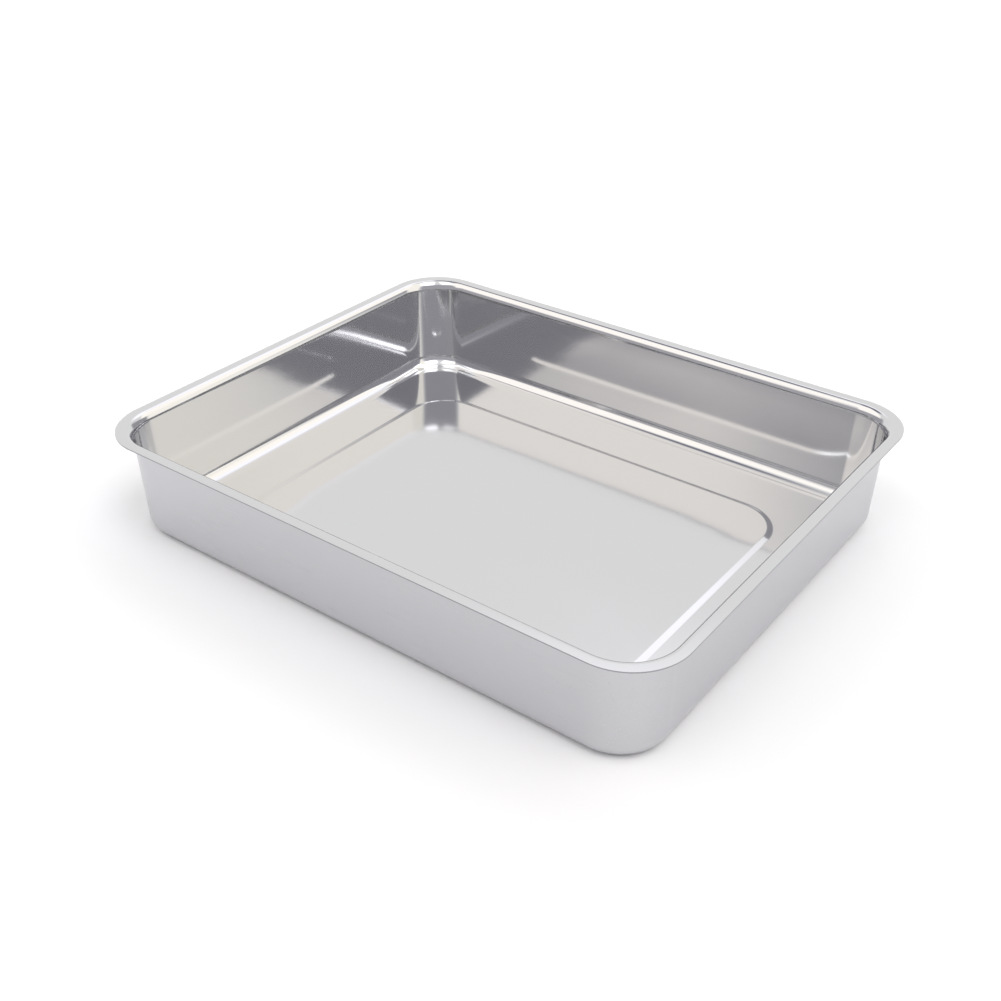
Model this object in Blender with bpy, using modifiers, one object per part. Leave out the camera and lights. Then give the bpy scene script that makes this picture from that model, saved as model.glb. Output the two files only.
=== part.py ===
"""Developing tray: a shallow rectangular pan deep-drawn from one sheet of stainless steel.

The origin is at the middle of the base, +X runs along the longer side and +Z is up. The sheet is
modelled as its inside face and given its thickness by Solidify. The inside face starts as the flat
spot in the middle of the floor, and its open edge is extruded outwards once for each outline of
the tray: up the shallow dish of the floor's panel, down the step round it, over the flat band that
the tray stands on, up the fillet and the tapered wall, and over the rolled lip to the cut edge of
the flange. Each outline is a rounded rectangle: length, width, height and corner radius.
"""

import math

import bmesh
import bpy

# Driving dimensions, in metres
LENGTH = 0.300  # over the flange, along X
WIDTH = 0.244  # over the flange, along Y
HEIGHT = 0.0515  # base to the flange's upper face
SHEET = 0.0006

FLANGE_CORNER_RADIUS = 0.027
WALL_CORNER_RADIUS = 0.022
LIP_TOP_RADIUS = 0.0025  # where the lip turns down from the flange
LIP_FOOT_RADIUS = 0.006  # where it runs into the wall
LIP_END_INSET = 0.0073  # from the flange's edge to the wall's inside face, at the top
WALL_TAPER = math.radians(1.3)
FLOOR_FILLET_RADIUS = 0.0064

# The floor's panel is pressed up with a step round it, and dished so that it drains to the middle
PANEL_LENGTH = 0.217
PANEL_WIDTH = 0.156
PANEL_CORNER_RADIUS = 0.022
STEP_WIDTH = 0.0034
STEP_HEIGHT = 0.0007
DISH_DEPTH = 0.0006
DISH_REACH = 0.045  # from the step's middle to the flat spot
SPOT_CORNER_RADIUS = 0.008

CORNER_STEPS = 9
LIP_STEPS = 6
FILLET_STEPS = 5
STEP_STEPS = 4
DISH_STEPS = 4

STEEL_COLOUR = (0.66, 0.66, 0.67, 1.0)
STEEL_ROUGHNESS = 0.15
STEEL_METALLIC = 1.0


def clear_scene():
    """Remove everything that a new file starts with."""
    for item in list(bpy.data.objects):
        bpy.data.objects.remove(item, do_unlink=True)


def part_collection(name):
    """The collection that holds the tray's pieces."""
    collection = bpy.data.collections.new(name)
    bpy.context.scene.collection.children.link(collection)
    return collection


def polished_steel():
    """Bare stainless sheet, bright-rolled and polished."""
    steel = bpy.data.materials.new("polished_steel")
    steel.use_nodes = True
    shader = steel.node_tree.nodes["Principled BSDF"]
    shader.inputs["Base Color"].default_value = STEEL_COLOUR
    shader.inputs["Metallic"].default_value = STEEL_METALLIC
    shader.inputs["Roughness"].default_value = STEEL_ROUGHNESS
    return steel


def panel_outlines():
    """The dished panel, from the flat spot in its middle to the top of the step."""
    edge = STEP_WIDTH / 2
    edge_radius = PANEL_CORNER_RADIUS - edge
    outlines = []
    for step in range(DISH_STEPS + 1):
        share = step / DISH_STEPS
        shrink = edge + (DISH_REACH - edge) * (1 - share)
        height = SHEET + STEP_HEIGHT - DISH_DEPTH * (1 - share**2)
        radius = SPOT_CORNER_RADIUS + (edge_radius - SPOT_CORNER_RADIUS) * share
        outlines.append((PANEL_LENGTH - 2 * shrink, PANEL_WIDTH - 2 * shrink, height, radius))
    return outlines


def step_outlines():
    """The smooth step from the panel down to the flat band."""
    outlines = []
    for step in range(1, STEP_STEPS + 1):
        share = step / STEP_STEPS
        grow = (share - 0.5) * STEP_WIDTH
        height = SHEET + STEP_HEIGHT * (1 + math.cos(math.pi * share)) / 2
        radius = PANEL_CORNER_RADIUS + grow
        outlines.append((PANEL_LENGTH + 2 * grow, PANEL_WIDTH + 2 * grow, height, radius))
    return outlines


def inset_outline(inset, height, radius):
    """The outline that lies a distance in from the flange's edge."""
    return (LENGTH - 2 * inset, WIDTH - 2 * inset, height, radius)


def fillet_outlines():
    """The concave turn from the floor up into the wall."""
    wall_foot = LIP_END_INSET + (HEIGHT - SHEET) * math.tan(WALL_TAPER)
    turn = math.pi / 2 - WALL_TAPER
    centre_inset = wall_foot + FLOOR_FILLET_RADIUS * math.tan(turn / 2)
    outlines = []
    for step in range(FILLET_STEPS + 1):
        angle = turn * step / FILLET_STEPS
        inset = centre_inset - FLOOR_FILLET_RADIUS * math.sin(angle)
        height = SHEET + FLOOR_FILLET_RADIUS * (1 - math.cos(angle))
        outlines.append(inset_outline(inset, height, WALL_CORNER_RADIUS + wall_foot - inset))
    return outlines


def lip_outlines():
    """The convex roll from the top of the wall out to the flat flange, and its cut edge."""
    turn = math.pi / 2 - WALL_TAPER
    spread = (FLANGE_CORNER_RADIUS - WALL_CORNER_RADIUS) / LIP_END_INSET
    foot_drop = LIP_FOOT_RADIUS * (math.cos(turn / 2) - math.cos(turn))
    top_drop = LIP_TOP_RADIUS * (1 - math.cos(turn / 2))
    inset = LIP_END_INSET
    height = HEIGHT - foot_drop - top_drop
    outlines = [inset_outline(inset, height, WALL_CORNER_RADIUS)]
    for step in range(LIP_STEPS):
        slope = turn * (1 - (step + 0.5) / LIP_STEPS)
        radius = LIP_FOOT_RADIUS if slope > turn / 2 else LIP_TOP_RADIUS
        chord = 2 * radius * math.sin(turn / LIP_STEPS / 2)
        inset -= chord * math.cos(slope)
        height += chord * math.sin(slope)
        outlines.append(inset_outline(inset, height, FLANGE_CORNER_RADIUS - spread * inset))
    outlines.append(inset_outline(0.0, HEIGHT, FLANGE_CORNER_RADIUS))
    return outlines


def outline_points(length, width, height, radius):
    """Points round one outline, anticlockwise from +X."""
    reach_x = length / 2 - radius
    reach_y = width / 2 - radius
    points = []
    for corner, (side_x, side_y) in enumerate(((1, 1), (-1, 1), (-1, -1), (1, -1))):
        for step in range(CORNER_STEPS + 1):
            angle = math.pi / 2 * (corner + step / CORNER_STEPS)
            x = side_x * reach_x + radius * math.cos(angle)
            y = side_y * reach_y + radius * math.sin(angle)
            points.append((x, y, height))
    return points


def place_on_outline(vertices, place_layer, outline):
    """Move each vertex to its own place on one outline."""
    points = outline_points(*outline)
    for vertex in vertices:
        vertex.co = points[vertex[place_layer]]


def inside_face(outlines):
    """The sheet's inside face, grown outwards from the flat spot in the middle of the floor."""
    shape = bmesh.new()
    bmesh.ops.create_circle(
        shape, cap_ends=True, segments=4 * (CORNER_STEPS + 1), radius=LENGTH / 2
    )
    place_layer = shape.verts.layers.int.new("place")
    spot_vertices = sorted(shape.verts, key=lambda v: math.atan2(v.co.y, v.co.x) % math.tau)
    for place, vertex in enumerate(spot_vertices):
        vertex[place_layer] = place
    place_on_outline(spot_vertices, place_layer, outlines[0])
    for outline in outlines[1:]:
        edge_loop = [edge for edge in shape.edges if edge.is_boundary]
        grown = bmesh.ops.extrude_edge_only(shape, edges=edge_loop)
        new_vertices = [item for item in grown["geom"] if isinstance(item, bmesh.types.BMVert)]
        place_on_outline(new_vertices, place_layer, outline)
    bmesh.ops.recalc_face_normals(shape, faces=shape.faces)
    middle = min(shape.faces, key=lambda face: face.calc_center_median().length)
    if middle.normal.z < 0:
        bmesh.ops.reverse_faces(shape, faces=shape.faces)
    mesh = bpy.data.meshes.new("tray_pan")
    shape.to_mesh(mesh)
    shape.free()
    return mesh


def make_tray_pan(collection):
    """The whole pan as one piece of bent sheet."""
    mesh = inside_face(panel_outlines() + step_outlines() + fillet_outlines() + lip_outlines())
    mesh.shade_smooth()
    mesh.set_sharp_from_angle(angle=math.radians(50))
    pan = bpy.data.objects.new("tray_pan", mesh)
    collection.objects.link(pan)
    pan.data.materials.append(polished_steel())
    wall = pan.modifiers.new("sheet_thickness", "SOLIDIFY")
    wall.thickness = SHEET
    wall.offset = -1.0
    wall.use_even_offset = True
    return pan


clear_scene()
make_tray_pan(part_collection("developing_tray"))
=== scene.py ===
"""Looks for the developing tray: one deep-drawn stainless sheet in a plain white studio."""

import logging
import math
from dataclasses import dataclass, field
from enum import Enum

import bpy
from mathutils import Matrix, Vector


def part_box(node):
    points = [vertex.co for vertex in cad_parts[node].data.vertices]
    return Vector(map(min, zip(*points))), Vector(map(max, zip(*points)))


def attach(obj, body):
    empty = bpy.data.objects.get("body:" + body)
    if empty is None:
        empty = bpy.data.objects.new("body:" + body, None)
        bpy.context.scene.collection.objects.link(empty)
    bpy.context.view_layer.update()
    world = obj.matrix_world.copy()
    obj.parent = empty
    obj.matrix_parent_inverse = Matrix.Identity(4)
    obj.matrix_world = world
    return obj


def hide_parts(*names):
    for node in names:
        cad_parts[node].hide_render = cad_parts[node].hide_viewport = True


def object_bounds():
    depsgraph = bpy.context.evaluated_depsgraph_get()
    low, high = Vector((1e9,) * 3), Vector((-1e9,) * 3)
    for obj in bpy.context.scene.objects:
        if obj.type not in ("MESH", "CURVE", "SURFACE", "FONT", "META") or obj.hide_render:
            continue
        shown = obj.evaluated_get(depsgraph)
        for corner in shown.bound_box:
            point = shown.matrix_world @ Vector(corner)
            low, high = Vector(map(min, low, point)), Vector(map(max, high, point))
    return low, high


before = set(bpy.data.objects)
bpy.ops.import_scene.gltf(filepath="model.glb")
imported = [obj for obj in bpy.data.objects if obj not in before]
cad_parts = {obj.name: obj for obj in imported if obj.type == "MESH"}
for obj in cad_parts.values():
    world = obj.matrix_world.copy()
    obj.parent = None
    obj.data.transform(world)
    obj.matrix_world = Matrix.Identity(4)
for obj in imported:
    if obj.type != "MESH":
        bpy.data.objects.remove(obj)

CAD_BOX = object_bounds()
MM = 0.001  # millimetres to metres
SHARP_ANGLE = math.radians(50)  # the cut edge's corners stay sharp, and every bend is smooth
ARC_PROFILE = 0.5  # the bevel profile that is a true arc
STRAIGHT_TOLERANCE = 1e-7  # metres, below which an edge counts as straight along X or Y
SIDE_SHARE = 0.25  # of a corner's radius: longer than its facets, shorter than any side

log = logging.getLogger("developing_tray")


def linear_colour(hex_code: str) -> tuple[float, float, float, float]:
    """Turn an sRGB hex colour into a linear colour.

    Args:
        hex_code: Six hex digits, such as "D9D9DB".

    Returns:
        Linear red, green and blue, and an alpha of 1.
    """
    channels = []
    for start in (0, 2, 4):
        value = int(hex_code[start : start + 2], 16) / 255
        # The sRGB curve: straight near black, and a power above that
        channels.append(value / 12.92 if value <= 0.04045 else ((value + 0.055) / 1.055) ** 2.4)
    return (channels[0], channels[1], channels[2], 1.0)


def add_node(
    tree: bpy.types.NodeTree,
    kind: str,
    settings: dict[str, object] | None = None,
    values: dict[int | str, object] | None = None,
    links: dict[int | str, bpy.types.NodeSocket] | None = None,
) -> bpy.types.Node:
    """Add one node with its settings, fixed inputs and incoming links.

    Args:
        tree: The node tree that the node goes in.
        kind: The node's type, such as "ShaderNodeTexNoise".
        settings: Properties of the node itself.
        values: Fixed values by input name or number.
        links: Output sockets by the input that they feed.

    Returns:
        The new node.
    """
    node = tree.nodes.new(kind)
    for name, value in (settings or {}).items():
        setattr(node, name, value)
    for name, value in (values or {}).items():
        node.inputs[name].default_value = value
    for name, socket in (links or {}).items():
        tree.links.new(socket, node.inputs[name])
    return node


def deselect_all() -> None:
    """Leave nothing selected, so that an operator acts only on what comes next."""
    bpy.ops.object.select_all(action="DESELECT")


# ---------------------------------------------------------------------------------------------
# The pressed sheet
# ---------------------------------------------------------------------------------------------


class SheetFace(Enum):
    """The three surfaces of the sheet, in the order of its material slots."""

    INSIDE = 0
    OUTSIDE = 1
    CUT_EDGE = 2


@dataclass(frozen=True)
class Outline:
    """A rounded rectangle, level and centred on the tray."""

    length: float
    width: float
    height: float
    corner_radius: float


@dataclass
class PressedTray:
    """The whole tray: floor, walls, rolled lip and flange, drawn from one sheet.

    Sizes are in metres and angles in radians. The steps and cuts say how finely each stretch of
    the sheet is divided.
    """

    low: Vector
    high: Vector
    sheet: float = 0.6 * MM
    flange_corner_radius: float = 27.0 * MM
    wall_corner_radius: float = 22.0 * MM
    lip_top_radius: float = 2.5 * MM  # where the lip turns down from the flange
    lip_foot_radius: float = 6.0 * MM  # where it runs into the wall
    lip_end_inset: float = 7.3 * MM
    wall_taper: float = math.radians(1.3)
    floor_fillet_radius: float = 6.4 * MM
    panel_length: float = 217.0 * MM
    panel_width: float = 156.0 * MM
    panel_corner_radius: float = 22.0 * MM
    step_width: float = 3.4 * MM
    step_height: float = 0.7 * MM
    dish_depth: float = 0.6 * MM
    dish_reach: float = 45.0 * MM
    spot_corner_radius: float = 8.0 * MM
    corner_steps: int = 24
    side_cuts: int = 15
    fillet_steps: int = 14
    lip_steps: int = 14
    step_steps: int = 12
    dish_steps: int = 16
    band_steps: int = 8
    wall_steps: int = 6
    stack_gap: float = 10.0 * MM

    @property
    def length(self) -> float:
        """Length over the flange."""
        return self.high.x - self.low.x

    @property
    def width(self) -> float:
        """Width over the flange."""
        return self.high.y - self.low.y

    @property
    def rim_height(self) -> float:
        """Height of the flange's upper face."""
        return self.high.z

    def inset_outline(self, inset: float, height: float, radius: float) -> Outline:
        """The outline that lies a distance in from the flange's edge.

        Args:
            inset: The distance in, the same all the way round.
            height: The outline's height.
            radius: The radius of its corners.

        Returns:
            The outline.
        """
        return Outline(self.length - 2 * inset, self.width - 2 * inset, height, radius)

    def panel_outlines(self) -> list[Outline]:
        """Give the shape of the floor's dished panel.

        Returns:
            Outlines from the flat spot in its middle to the top of the step.
        """
        edge = self.step_width / 2
        edge_radius = self.panel_corner_radius - edge
        outlines = []
        for step in range(self.dish_steps + 1):
            share = step / self.dish_steps
            shrink = edge + (self.dish_reach - edge) * (1 - share)
            height = self.sheet + self.step_height - self.dish_depth * (1 - share**2)
            radius = self.spot_corner_radius + (edge_radius - self.spot_corner_radius) * share
            length = self.panel_length - 2 * shrink
            width = self.panel_width - 2 * shrink
            outlines.append(Outline(length, width, height, radius))
        return outlines

    def step_outlines(self) -> list[Outline]:
        """Give the shape of the smooth step round the panel.

        Returns:
            Outlines from just outside the panel to the flat band round it.
        """
        outlines = []
        for step in range(1, self.step_steps + 1):
            share = step / self.step_steps
            grow = (share - 0.5) * self.step_width
            fall = (1 - math.cos(math.pi * share)) / 2
            outlines.append(
                Outline(
                    self.panel_length + 2 * grow,
                    self.panel_width + 2 * grow,
                    self.sheet + self.step_height * (1 - fall),
                    self.panel_corner_radius + grow,
                )
            )
        return outlines

    def fillet_outlines(self) -> list[Outline]:
        """Give the shape of the concave turn from the floor up into the wall.

        Returns:
            Outlines from the flat band to the foot of the wall.
        """
        wall_foot = self.lip_end_inset + (self.rim_height - self.sheet) * math.tan(self.wall_taper)
        turn = math.pi / 2 - self.wall_taper
        centre_inset = wall_foot + self.floor_fillet_radius * math.tan(turn / 2)
        outlines = []
        for step in range(self.fillet_steps + 1):
            angle = turn * step / self.fillet_steps
            inset = centre_inset - self.floor_fillet_radius * math.sin(angle)
            height = self.sheet + self.floor_fillet_radius * (1 - math.cos(angle))
            outlines.append(
                self.inset_outline(inset, height, self.wall_corner_radius + wall_foot - inset)
            )
        return outlines

    def lip_outlines(self) -> list[Outline]:
        """Give the shape of the convex roll from the top of the wall out to the flat flange.

        It turns tightly under the flange and more gently where it runs into the wall.

        Returns:
            Outlines from the top of the wall to the flange's cut edge.
        """
        turn = math.pi / 2 - self.wall_taper
        spread = (self.flange_corner_radius - self.wall_corner_radius) / self.lip_end_inset
        foot_drop = self.lip_foot_radius * (math.cos(turn / 2) - math.cos(turn))
        top_drop = self.lip_top_radius * (1 - math.cos(turn / 2))
        inset = self.lip_end_inset
        height = self.rim_height - foot_drop - top_drop
        outlines = [self.inset_outline(inset, height, self.wall_corner_radius)]
        for step in range(self.lip_steps):
            slope = turn * (1 - (step + 0.5) / self.lip_steps)
            radius = self.lip_foot_radius if slope > turn / 2 else self.lip_top_radius
            chord = 2 * radius * math.sin(turn / self.lip_steps / 2)
            inset -= chord * math.cos(slope)
            height += chord * math.sin(slope)
            outlines.append(
                self.inset_outline(inset, height, self.flange_corner_radius - spread * inset)
            )
        outlines.append(self.inset_outline(0.0, self.rim_height, self.flange_corner_radius))
        return outlines

    def outlines_between(self, first: Outline, last: Outline, steps: int) -> list[Outline]:
        """Evenly spaced outlines between two others.

        Args:
            first: The outline to start from.
            last: The outline to end at.
            steps: How many steps lead from the first to the last.

        Returns:
            The outlines between, leaving out the first and the last.
        """
        outlines = []
        for step in range(1, steps):
            share = step / steps
            outlines.append(
                Outline(
                    first.length + (last.length - first.length) * share,
                    first.width + (last.width - first.width) * share,
                    first.height + (last.height - first.height) * share,
                    first.corner_radius + (last.corner_radius - first.corner_radius) * share,
                )
            )
        return outlines

    def outlines(self) -> list[Outline]:
        """Put the stretches of the inside face together.

        Returns:
            Every outline, from the middle of the floor to the flange's edge.
        """
        panel = self.panel_outlines() + self.step_outlines()
        fillet = self.fillet_outlines()
        lip = self.lip_outlines()
        band = self.outlines_between(panel[-1], fillet[0], self.band_steps)
        wall = self.outlines_between(fillet[-1], lip[0], self.wall_steps)
        return panel + band + fillet + wall + lip

    def add_outline(self, outline: Outline, name: str, height: float) -> bpy.types.Object:
        """Add one outline as a wire loop: a plane with rounded corners and cut sides.

        Args:
            outline: The rounded rectangle to add.
            name: The name of its object and of the vertex group that holds its loop.
            height: Where the loop waits until it is bridged.

        Returns:
            The new object.
        """
        bpy.ops.mesh.primitive_plane_add(size=1.0, location=(0.0, 0.0, height))
        loop = bpy.context.object
        loop.name = name
        bpy.ops.object.mode_set(mode="EDIT")
        bpy.ops.mesh.select_all(action="SELECT")
        bpy.ops.transform.resize(value=(outline.length, outline.width, 1.0))
        bpy.ops.mesh.bevel(
            offset=outline.corner_radius,
            segments=self.corner_steps,
            affect="VERTICES",
            profile=ARC_PROFILE,
        )
        bpy.ops.mesh.delete(type="ONLY_FACE")
        bpy.ops.mesh.select_all(action="DESELECT")
        bpy.ops.object.mode_set(mode="OBJECT")
        self.select_sides(loop, outline)
        bpy.ops.object.mode_set(mode="EDIT")
        bpy.ops.mesh.select_mode(type="EDGE")
        bpy.ops.mesh.subdivide(number_cuts=self.side_cuts)
        bpy.ops.mesh.select_mode(type="VERT")
        bpy.ops.object.mode_set(mode="OBJECT")
        group = loop.vertex_groups.new(name=name)
        group.add(range(len(loop.data.vertices)), 1.0, "REPLACE")
        return loop

    def select_sides(self, loop: bpy.types.Object, outline: Outline) -> None:
        """Select the four straight sides of a loop, and none of its corners.

        Args:
            loop: The loop, in object mode with nothing selected.
            outline: The outline that it follows.
        """
        points = loop.data.vertices
        shortest_side = outline.corner_radius * SIDE_SHARE
        for edge in loop.data.edges:
            along = points[edge.vertices[0]].co - points[edge.vertices[1]].co
            straight = min(abs(along.x), abs(along.y)) < STRAIGHT_TOLERANCE
            edge.select = straight and along.length > shortest_side

    def select_loops(self, *names: str) -> None:
        """Select whole loops of the tray, which is in edit mode.

        Args:
            names: The vertex groups that hold the loops.
        """
        bpy.ops.mesh.select_all(action="DESELECT")
        for name in names:
            bpy.ops.object.vertex_group_set_active(group=name)
            bpy.ops.object.vertex_group_select()

    def build(self) -> bpy.types.Object:
        """Model the sheet's inside face as loops that are bridged and set to their heights.

        The loops wait in a tall stack, because loops in one plane would bridge with a twist.

        Returns:
            The tray, one sheet without thickness whose normals point into the tray.
        """
        deselect_all()
        outlines = self.outlines()
        stack = [number * self.stack_gap for number in range(len(outlines))]
        names = [f"loop_{number:02d}" for number in range(len(outlines))]
        loops = [self.add_outline(*item) for item in zip(outlines, names, stack)]
        deselect_all()
        for loop in loops:
            loop.select_set(True)
        tray = loops[0]
        bpy.context.view_layer.objects.active = tray
        bpy.ops.object.join()
        bpy.ops.object.transform_apply(location=True, rotation=True, scale=True)
        bpy.ops.object.mode_set(mode="EDIT")
        for first, second in zip(names, names[1:]):
            self.select_loops(first, second)
            bpy.ops.mesh.bridge_edge_loops()
        self.select_loops(names[0])
        bpy.ops.mesh.edge_face_add()
        for outline, name, height in zip(outlines, names, stack):
            self.select_loops(name)
            bpy.ops.transform.translate(value=(0.0, 0.0, outline.height - height))
        bpy.ops.mesh.select_all(action="SELECT")
        bpy.ops.mesh.normals_make_consistent(inside=False)
        bpy.ops.object.mode_set(mode="OBJECT")
        # The floor has to face up, so that the sheet's thickness goes below it
        middle = min(tray.data.polygons, key=lambda face: face.center.to_2d().length)
        if middle.normal.z < 0:
            bpy.ops.object.mode_set(mode="EDIT")
            bpy.ops.mesh.flip_normals()
            bpy.ops.object.mode_set(mode="OBJECT")
        tray.vertex_groups.clear()
        tray.name = "pressed_tray"
        return tray

    def thicken(self, tray: bpy.types.Object) -> None:
        """Give the sheet its gauge and even out the shading of its flat stretches.

        Args:
            tray: The inside face, with a material slot for each face of the sheet.
        """
        solidify = tray.modifiers.new("sheet_gauge", "SOLIDIFY")
        solidify.thickness = self.sheet
        solidify.offset = -1.0
        solidify.use_even_offset = True
        solidify.material_offset = SheetFace.OUTSIDE.value
        solidify.material_offset_rim = SheetFace.CUT_EDGE.value
        bpy.ops.object.modifier_apply(modifier=solidify.name)
        bpy.ops.object.shade_smooth_by_angle(angle=SHARP_ANGLE)
        weighting = tray.modifiers.new("flat_shading", "WEIGHTED_NORMAL")
        weighting.keep_sharp = True
        bpy.ops.object.modifier_apply(modifier=weighting.name)


# ---------------------------------------------------------------------------------------------
# Finishes
# ---------------------------------------------------------------------------------------------


@dataclass(frozen=True)
class SteelFinish:
    """Stainless sheet with one surface finish.

    Stainless reflects about two thirds of the light with hardly any tint; what tells one finish
    from another is how far the reflections spread. The grain is the fine lines left by rolling,
    buffing or shearing. The real ones are hundredths of a millimetre wide, too fine to show, so
    they are drawn some tenths of a millimetre wide. The waves are the slight unevenness of thin
    pressed sheet.
    """

    name: str
    colour: str
    roughness: float
    roughness_spread: float
    grain_size: tuple[float, float, float]
    grain_depth: float
    wave_depth: float
    wave_length: float = 55 * MM
    grain_detail: float = 3.0
    grain_harshness: float = 0.6
    noise_low: float = 0.3  # noise seldom falls below this
    noise_high: float = 0.7  # or rises above this

    def material(self) -> bpy.types.Material:
        """Build the finish as a node material.

        Returns:
            The material.
        """
        steel = bpy.data.materials.new(self.name)
        steel.use_nodes = True
        tree = steel.node_tree
        tree.nodes.clear()
        place = add_node(tree, "ShaderNodeTexCoord").outputs["Object"]
        grain_place = add_node(
            tree,
            "ShaderNodeMapping",
            values={"Scale": tuple(1 / size for size in self.grain_size)},
            links={"Vector": place},
        ).outputs[0]
        grain = add_node(
            tree,
            "ShaderNodeTexNoise",
            values={
                "Scale": 1.0,
                "Detail": self.grain_detail,
                "Roughness": self.grain_harshness,
            },
            links={"Vector": grain_place},
        ).outputs["Fac"]
        wave = add_node(
            tree,
            "ShaderNodeTexNoise",
            values={"Scale": 1 / self.wave_length, "Detail": 0.0},
            links={"Vector": place},
        ).outputs["Fac"]
        waves = add_node(
            tree,
            "ShaderNodeBump",
            values={"Strength": 1.0, "Distance": self.wave_depth},
            links={"Height": wave},
        ).outputs[0]
        roughness = add_node(
            tree,
            "ShaderNodeMapRange",
            values={
                "From Min": self.noise_low,
                "From Max": self.noise_high,
                "To Min": self.roughness - self.roughness_spread,
                "To Max": self.roughness + self.roughness_spread,
            },
            links={"Value": grain},
        ).outputs[0]
        bump = add_node(
            tree,
            "ShaderNodeBump",
            values={"Strength": 1.0, "Distance": self.grain_depth},
            links={"Height": grain, "Normal": waves},
        ).outputs[0]
        shader = add_node(
            tree,
            "ShaderNodeBsdfPrincipled",
            values={"Base Color": linear_colour(self.colour), "Metallic": 1.0},
            links={"Roughness": roughness, "Normal": bump},
        ).outputs[0]
        add_node(tree, "ShaderNodeOutputMaterial", links={"Surface": shader})
        return steel


# Stainless sheet, buffed before it was drawn: close to a mirror, with reflections a little soft
POLISHED_INSIDE = SteelFinish(
    name="bright_polished_stainless",
    colour="DADADB",
    roughness=0.09,
    roughness_spread=0.012,
    grain_size=(40 * MM, 0.6 * MM, 0.6 * MM),
    grain_depth=0.000002 * MM,
    wave_depth=0.12 * MM,
)
# The same sheet dulled by the die on the side that slid on it: reflections spread to an even grey.
# Its colour is darker than the inside's although the steel is the same: painted shade for the dim
# floor that the outer walls reflect
SATIN_OUTSIDE_PAINTED_SHADE = SteelFinish(
    name="satin_drawn_stainless_painted_shade",
    # darker than the inside's grey: painted shade, not a difference in the metal
    colour="C7C7CA",
    roughness=0.3,
    roughness_spread=0.03,
    grain_size=(60 * MM, 0.6 * MM, 0.6 * MM),
    grain_depth=0.001 * MM,
    wave_depth=0.1 * MM,
)
# The sheet's edge as the trimming die left it: a dull, slightly ragged line
SHEARED_EDGE = SteelFinish(
    name="sheared_stainless_edge",
    colour="9C9CA0",
    roughness=0.38,
    roughness_spread=0.06,
    grain_size=(2 * MM, 2 * MM, 0.3 * MM),
    grain_depth=0.004 * MM,
    wave_depth=0.0,
)


FINISHES = {
    SheetFace.INSIDE: POLISHED_INSIDE,
    SheetFace.OUTSIDE: SATIN_OUTSIDE_PAINTED_SHADE,
    SheetFace.CUT_EDGE: SHEARED_EDGE,
}


def dress(tray: bpy.types.Object) -> None:
    """Give the tray a material slot for each face of the sheet, before it is thickened.

    Args:
        tray: The inside face.
    """
    for surface in SheetFace:
        tray.data.materials.append(FINISHES[surface].material())


# ---------------------------------------------------------------------------------------------
# The studio
# ---------------------------------------------------------------------------------------------


# The Mix node's colour sockets, which share their names with its number and vector sockets
MIX_FIRST_COLOUR = 6
MIX_SECOND_COLOUR = 7
MIX_COLOUR_RESULT = 2


@dataclass(frozen=True)
class Panel:
    """One soft-edged panel of the white tent, by where it is seen from the tray.

    Angles are in degrees, and bearings turn clockwise from +Y, seen from above.
    """

    name: str
    bearing: float
    half_bearing: float
    elevation: float
    half_elevation: float
    softness: float
    colour: str
    brightness: float


@dataclass(frozen=True)
class Viewpoint:
    """Where the camera stands, and what it looks at."""

    bearing: float = math.radians(36.84)  # anticlockwise from -Y, seen from above
    elevation: float = math.radians(32.44)
    roll: float = math.radians(0.12)
    distance: float = 525.3 * MM
    target_x: float = 36.1 * MM
    target_y: float = -55.9 * MM
    focal_length: float = 45.0  # millimetres, on a sensor of the width below
    sensor_width: float = 36.0
    nearest: float = 10 * MM


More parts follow.
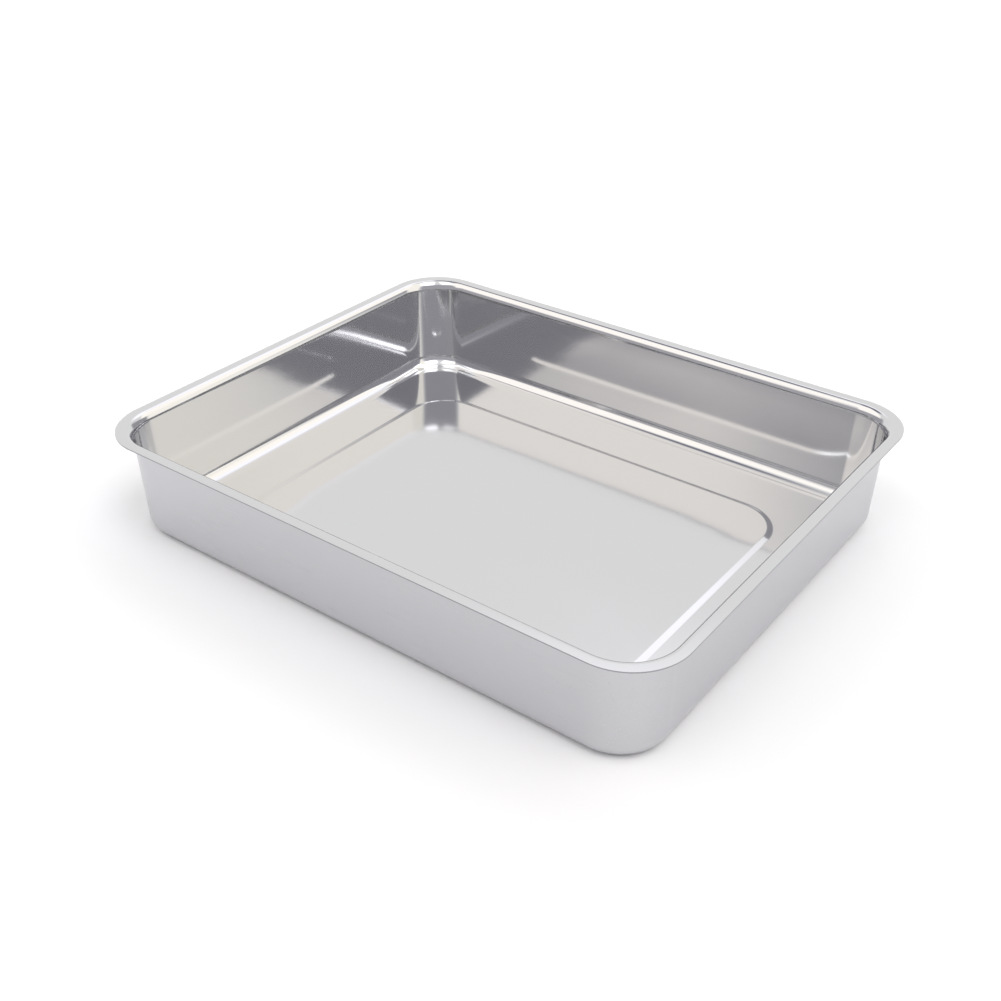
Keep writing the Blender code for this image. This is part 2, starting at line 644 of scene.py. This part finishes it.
@dataclass
class Studio:
    """A white tent with bright and dim panels, a pale floor and the camera."""

    tray_foot: float
    tray_top: float
    viewpoint: Viewpoint = Viewpoint()
    panels: list[Panel] = field(default_factory=list)
    tent_colour: str = "FFFFFF"
    tent_brightness: float = 0.95
    floor_radius: float = 2.5  # metres
    floor_sides: int = 96
    floor_colour: str = "F7F7F7"
    floor_roughness: float = 0.9

    def glow(self, hex_code: str, brightness: float) -> tuple[float, float, float, float]:
        """The light of a colour at a brightness.

        Args:
            hex_code: The colour, as six hex digits.
            brightness: How bright it is, where 1 shows as the colour itself.

        Returns:
            Linear red, green and blue, and an alpha of 1.
        """
        red, green, blue, alpha = linear_colour(hex_code)
        return (red * brightness, green * brightness, blue * brightness, alpha)

    def panel_share(
        self, tree: bpy.types.NodeTree, direction: bpy.types.NodeSocket, panel: Panel
    ) -> bpy.types.NodeSocket:
        """How much of a panel lies in each direction, from 0 outside it to 1 inside.

        Args:
            tree: The world's node tree.
            direction: The direction looked along.
            panel: The panel.

        Returns:
            The socket that gives the share.
        """
        turned = add_node(
            tree,
            "ShaderNodeVectorRotate",
            settings={"rotation_type": "Z_AXIS"},
            values={"Angle": math.radians(panel.bearing)},
            links={"Vector": direction},
        ).outputs[0]
        parts = add_node(tree, "ShaderNodeSeparateXYZ", links={"Vector": turned})
        aside = add_node(
            tree,
            "ShaderNodeMath",
            settings={"operation": "ARCTAN2"},
            links={0: parts.outputs["X"], 1: parts.outputs["Y"]},
        ).outputs[0]
        upward = add_node(
            tree, "ShaderNodeMath", settings={"operation": "ARCSINE"}, links={0: parts.outputs["Z"]}
        ).outputs[0]
        height = add_node(
            tree,
            "ShaderNodeMath",
            settings={"operation": "SUBTRACT"},
            values={1: math.radians(panel.elevation)},
            links={0: upward},
        ).outputs[0]
        shares = []
        for offset, half in ((aside, panel.half_bearing), (height, panel.half_elevation)):
            distance = add_node(
                tree, "ShaderNodeMath", settings={"operation": "ABSOLUTE"}, links={0: offset}
            ).outputs[0]
            shares.append(
                add_node(
                    tree,
                    "ShaderNodeMapRange",
                    settings={"interpolation_type": "SMOOTHSTEP"},
                    values={
                        "From Min": math.radians(half + panel.softness),
                        "From Max": math.radians(half - panel.softness),
                    },
                    links={"Value": distance},
                ).outputs[0]
            )
        return add_node(
            tree,
            "ShaderNodeMath",
            settings={"operation": "MULTIPLY", "label": panel.name},
            links={0: shares[0], 1: shares[1]},
        ).outputs[0]

    def light(self) -> None:
        """Build the tent as the world that lights the tray."""
        world = bpy.data.worlds.new("white_tent")
        world.use_nodes = True
        bpy.context.scene.world = world
        tree = world.node_tree
        tree.nodes.clear()
        direction = add_node(tree, "ShaderNodeTexCoord").outputs["Generated"]
        light = add_node(tree, "ShaderNodeRGB").outputs[0]
        light.default_value = self.glow(self.tent_colour, self.tent_brightness)
        for panel in self.panels:
            light = add_node(
                tree,
                "ShaderNodeMix",
                settings={"data_type": "RGBA"},
                values={MIX_SECOND_COLOUR: self.glow(panel.colour, panel.brightness)},
                links={0: self.panel_share(tree, direction, panel), MIX_FIRST_COLOUR: light},
            ).outputs[MIX_COLOUR_RESULT]
        background = add_node(tree, "ShaderNodeBackground", links={"Color": light}).outputs[0]
        add_node(tree, "ShaderNodeOutputWorld", links={"Surface": background})

    def lay_floor(self) -> bpy.types.Object:
        """Lay the plain pale floor that the tray stands on.

        Returns:
            The floor.
        """
        deselect_all()
        bpy.ops.mesh.primitive_circle_add(
            vertices=self.floor_sides,
            radius=self.floor_radius,
            fill_type="NGON",
            location=(0.0, 0.0, self.tray_foot),
        )
        floor = bpy.context.object
        floor.name = "pale_floor"
        # Uncoated white background paper: spreads all light evenly and shows no highlight
        paper = bpy.data.materials.new("matt_white_paper")
        paper.use_nodes = True
        shader = paper.node_tree.nodes["Principled BSDF"]
        shader.inputs["Base Color"].default_value = linear_colour(self.floor_colour)
        shader.inputs["Roughness"].default_value = self.floor_roughness
        floor.data.materials.append(paper)
        return floor

    def place_camera(self) -> None:
        """Look down on the tray across its front right corner."""
        view = self.viewpoint
        target = Vector((view.target_x, view.target_y, self.tray_top))
        back = Vector(
            (
                math.sin(view.bearing) * math.cos(view.elevation),
                -math.cos(view.bearing) * math.cos(view.elevation),
                math.sin(view.elevation),
            )
        )
        lens = bpy.data.cameras.new("camera")
        lens.lens = view.focal_length
        lens.sensor_width = view.sensor_width
        lens.clip_start = view.nearest
        camera = bpy.data.objects.new("camera", lens)
        bpy.context.scene.collection.objects.link(camera)
        turn = back.to_track_quat("Z", "Y").to_matrix() @ Matrix.Rotation(view.roll, 3, "Z")
        camera.matrix_world = Matrix.LocRotScale(target + back * view.distance, turn, None)
        bpy.context.scene.camera = camera


# Name, bearing and half its width, elevation and half its height, softness, colour, brightness.
# A later panel covers an earlier one.
TENT_PANELS = [
    Panel("key_light", 98.0, 34.0, 62.0, 18.0, 6.0, "FBFBFF", 4.2),
    Panel("front_light", -172.0, 28.0, 62.0, 18.0, 6.0, "FFFFFF", 2.2),
    Panel("back_glow", -5.0, 38.0, 50.0, 10.0, 4.0, "FAFAFF", 1.45),
    Panel("back_seam", -75.0, 36.0, 60.0, 12.0, 3.0, "E8E8FF", 0.3),
    Panel("camera_side", 145.0, 52.0, 20.0, 26.0, 9.0, "F4F3FC", 0.52),
    Panel("left_gap", -108.0, 24.0, 8.0, 19.0, 5.0, "F6F5FC", 0.47),
    Panel("left_screen", -155.0, 38.0, 6.0, 22.0, 7.0, "F8F6FC", 0.52),
    Panel("left_softbox", -125.0, 33.0, 43.5, 19.0, 5.0, "FFFAF4", 1.42),
    Panel("right_gap", 21.0, 26.0, 6.0, 19.0, 4.0, "F6F5FC", 0.42),
    Panel("right_softbox", 57.0, 30.0, 44.5, 19.5, 4.0, "FFFAF2", 1.42),
    Panel("side_window", 70.0, 19.0, 30.0, 28.0, 6.0, "FFFBF2", 1.3),
]


def main() -> None:
    """Build the tray and the studio round it, in order."""
    logging.basicConfig(level=logging.INFO, format="%(name)s: %(message)s")
    low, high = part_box("tray_pan")
    pressing = PressedTray(low, high)
    tray = pressing.build()
    dress(tray)
    pressing.thicken(tray)
    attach(tray, "root")
    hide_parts("tray_pan")
    mesh = tray.data
    log.info("pressed tray: %d vertices, %d faces", len(mesh.vertices), len(mesh.polygons))
    studio = Studio(tray_foot=CAD_BOX[0][2], tray_top=high.z, panels=TENT_PANELS)
    studio.light()
    floor = studio.lay_floor()
    log.info("floor: %s", floor.name)
    studio.place_camera()
    bpy.context.scene.view_settings.view_transform = "Standard"


if __name__ == "__main__":
    main()
